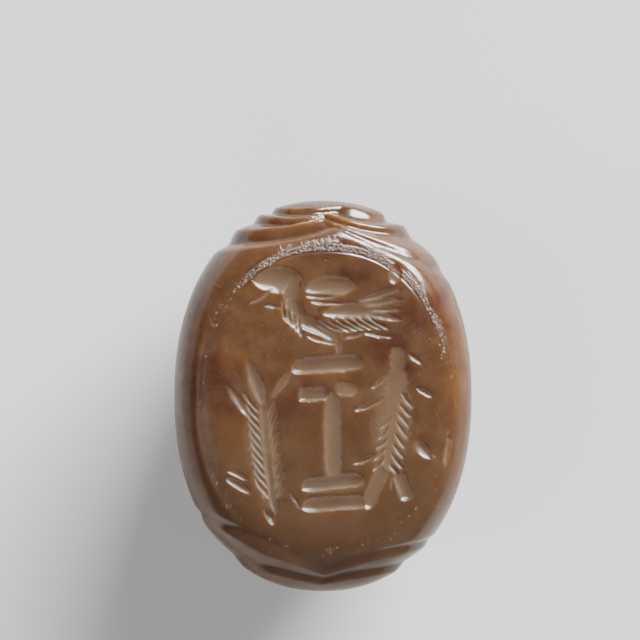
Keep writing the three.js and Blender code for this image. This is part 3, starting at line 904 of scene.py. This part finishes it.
def stone_material(colours):
    """Brown chalcedony: clouded and see-through, glossy outside and matte in the cuts."""
    material = bpy.data.materials.new("carnelian")
    material.use_nodes = True
    tree = material.node_tree
    shader = tree.nodes["Principled BSDF"]
    position = add_node(tree, "ShaderNodeTexCoord").outputs["Object"]
    in_mm = add_node(tree, "ShaderNodeVectorMath", {0: position}, operation="SCALE")
    in_mm.inputs["Scale"].default_value = 1 / MM
    here = in_mm.outputs[0]
    x, y, _ = parts_of(tree, here)
    cut = (field(tree, "cut") / MM).ramp(0.0, 0.12)
    chip = field(tree, "chip").ramp(0.0, 0.5)
    scratch, pit = scratches(tree, x, y), pits(tree, here)
    plug(tree, shader.inputs["Base Color"], stone_colour(tree, colours, here, (cut, chip, scratch, pit)))

    grime = noise(tree, here, 0.35, detail=5.0, roughness=0.7)
    rough = grime.ramp(0.3, 0.8) * 0.12 + 0.14 + cut * 0.16 + chip * 0.1
    plug(tree, shader.inputs["Roughness"], rough)

    # Bump heights, in mm
    plugs = {"W": field(tree, "across"), "Scale": 9.0, "Detail": 2.0}
    lines = add_node(tree, "ShaderNodeTexNoise", plugs, noise_dimensions="1D").outputs[0]
    polish = noise(tree, here, 1.6, detail=1.0)
    grain = noise(tree, here, 0.12, detail=3.0, roughness=0.6)
    grain_height = field(tree, "frost") * 0.09 + chip * 0.03 + 0.003
    height = polish * 0.02 + grain * grain_height + Number(tree, lines) * cut * 0.012
    height = height - pit * 0.013 - scratch * 0.007
    bump = add_node(tree, "ShaderNodeBump", {"Height": height, "Strength": 1.0, "Distance": MM})
    for name in ("Normal", "Coat Normal"):
        plug(tree, shader.inputs[name], bump.outputs[0])

    # The gloss is worn off the long sides, the lower end, the cuts and under the grime
    worn = x.size().ramp(5.5, 7.8).at_least((y * -1.0).ramp(7.6, 10.4))
    dull = cut * 0.15 + grime.ramp(0.5, 0.8) * 0.1 + worn * 0.38
    plug(tree, shader.inputs["Coat Weight"], dull * -1.0 + 0.5)

    for name, value in (
        ("IOR", 1.45),
        ("Transmission Weight", 0.38),
        ("Subsurface Weight", 1.0),
        ("Specular IOR Level", 0.0),
        ("Coat IOR", 1.6),
        ("Coat Roughness", 0.12),
        ("Subsurface Scale", 0.004),
        ("Subsurface Radius", (1.0, 0.5, 0.25)),
    ):
        shader.inputs[name].default_value = value
    plugs = {"Color": (*colours.glow, 1), "Density": 160.0}
    inside = add_node(tree, "ShaderNodeVolumeAbsorption", plugs)
    plug(tree, tree.nodes["Material Output"].inputs["Volume"], inside.outputs[0])
    return material


def floor_material(colours):
    """Smooth pale paper."""
    material = bpy.data.materials.new("pale_paper")
    material.use_nodes = True
    shader = material.node_tree.nodes["Principled BSDF"]
    shader.inputs["Base Color"].default_value = (*colours.floor, 1)
    shader.inputs["Roughness"].default_value = 0.75
    return material


# Operators


class SEAL_OT_stone(bpy.types.Operator):
    """Make the pierced and engraved stone"""

    bl_idname = "seal.stone"
    bl_label = "Stone"

    def execute(self, context):
        sizes, colours = context.scene.seal_sizes, context.scene.seal_colours
        strokes = bird_strokes() + altar_strokes() + right_plant_strokes() + left_plant_strokes()
        strokes += rim_chips()
        cutters = stroke_object(strokes)
        context.collection.objects.link(cutters)
        stone = bpy.data.objects.new("seal", stone_blank(sizes))
        context.collection.objects.link(stone)
        cutting = stone.modifiers.new("Cut the seal", "NODES")
        cutting.node_group = cutting_nodes(len(strokes))
        values = {
            "Strokes": cutters,
            "Stone width": sizes.width,
            "Stone height": sizes.height,
            "Hole radius": sizes.hole_radius,
            "Hole mouth": sizes.hole_mouth,
            "Hole height": sizes.hole_height,
            "Chip size": sizes.chip_size,
            "Stone": stone_material(colours),
        }
        set_inputs(cutting, values)
        graph = context.evaluated_depsgraph_get()
        mesh = bpy.data.meshes.new_from_object(stone.evaluated_get(graph))
        stone.modifiers.clear()
        stone.data = mesh
        bpy.data.objects.remove(cutters)
        if len(mesh.polygons) < LEAST_FACES:
            raise RuntimeError("the seal's mesh came out empty")
        mesh.name = "seal"
        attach(stone, "root")
        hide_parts(NODE)
        return {"FINISHED"}


class SEAL_OT_stage(bpy.types.Operator):
    """Make the floor, the lights and the camera"""

    bl_idname = "seal.stage"
    bl_label = "Floor, lights and camera"

    def execute(self, context):
        make_floor(context)
        make_lights(context)
        make_camera(context)
        return {"FINISHED"}


def make_floor(context):
    """A wide flat floor under the stone."""
    mesh = bpy.data.meshes.new("floor")
    reach = 1.5
    corners = [(-reach, -reach, 0), (reach, -reach, 0), (reach, reach, 0), (-reach, reach, 0)]
    mesh.from_pydata(corners, [], [(0, 1, 2, 3)])
    mesh.materials.append(floor_material(context.scene.seal_colours))
    floor = bpy.data.objects.new("floor", mesh)
    context.collection.objects.link(floor)


def aim(obj, target, up=Vector((0, 1, 0))):
    """Turns an object's -Z to a point, with its Y as near to up as can be."""
    back = (obj.location - Vector(target)).normalized()
    right = up.cross(back).normalized()
    obj.rotation_euler = Matrix((right, back.cross(right), back)).transposed().to_euler()


def add_light(context, name, place, target, size, watts, shiny=True):
    """A soft area light. One that isn't shiny shows in no highlight."""
    data = bpy.data.lights.new(name, "AREA")
    data.shape = "RECTANGLE"
    data.size, data.size_y = size
    data.energy = watts
    light = bpy.data.objects.new(name, data)
    light.location = place
    light.visible_glossy = shiny
    aim(light, target, Vector((0, 0, 1)))
    context.collection.objects.link(light)


def make_lights(context):
    """A soft key from beyond the bird's end, two weak fills and an even sky."""
    middle = (0, 0, 0.008)
    add_light(context, "key", (0.5, 0.77, 0.53), middle, (0.7, 0.5), 76)
    add_light(context, "fill", (-0.3, -0.05, 0.3), middle, (0.25, 0.25), 1.1, shiny=False)
    add_light(context, "bounce", (0.05, -0.3, 0.15), middle, (0.4, 0.2), 1.2, shiny=False)
    world = bpy.data.worlds.new("room")
    world.use_nodes = True
    sky = world.node_tree.nodes["Background"]
    sky.inputs["Color"].default_value = (0.95, 0.97, 1.0, 1)
    sky.inputs["Strength"].default_value = 0.1
    context.scene.world = world


def make_camera(context):
    """Looks straight down on the face, with the stone where the picture has it."""
    picture = 640
    stone_at = (323, 396)
    pixels_per_mm = 17.6
    lean_left, lean_up = math.radians(-3.3), math.radians(1.8)
    data = bpy.data.cameras.new("camera")
    data.lens = 250
    data.sensor_width = 36
    data.clip_start = 0.01
    data.shift_x = (picture / 2 - stone_at[0]) / picture
    data.shift_y = (stone_at[1] - picture / 2) / picture
    camera = bpy.data.objects.new("camera", data)
    girth = Vector((0, 0, 10.4 * MM))
    distance = data.lens / data.sensor_width * picture / pixels_per_mm * MM
    view = Vector((math.sin(lean_left), math.sin(lean_up), 1)).normalized()
    camera.location = girth + view * distance
    aim(camera, girth)
    context.collection.objects.link(camera)
    context.scene.camera = camera


class SEAL_PT_panel(bpy.types.Panel):
    """Lists the seal's pieces and sizes"""

    bl_idname = "SEAL_PT_panel"
    bl_label = "Stamp seal"
    bl_space_type = "VIEW_3D"
    bl_region_type = "UI"
    bl_category = "Stamp seal"

    def draw(self, context):
        for settings in (context.scene.seal_sizes, context.scene.seal_colours):
            box = self.layout.box()
            for name in type(settings).__annotations__:
                box.prop(settings, name)
        for operator in (SEAL_OT_stone, SEAL_OT_stage):
            self.layout.operator(operator.bl_idname)


CLASSES = (SealSizes, StoneColours, SEAL_OT_stone, SEAL_OT_stage, SEAL_PT_panel)


def register():
    """Adds the classes, and the sizes and colours of the scene."""
    for cls in CLASSES:
        bpy.utils.register_class(cls)
    bpy.types.Scene.seal_sizes = bpy.props.PointerProperty(type=SealSizes)
    bpy.types.Scene.seal_colours = bpy.props.PointerProperty(type=StoneColours)


def unregister():
    """Takes away what register added."""
    del bpy.types.Scene.seal_colours
    del bpy.types.Scene.seal_sizes
    for cls in reversed(CLASSES):
        bpy.utils.unregister_class(cls)


def main():
    """Builds everything."""
    register()
    bpy.ops.seal.stone()
    bpy.ops.seal.stage()


if __name__ == "__main__":
    main()
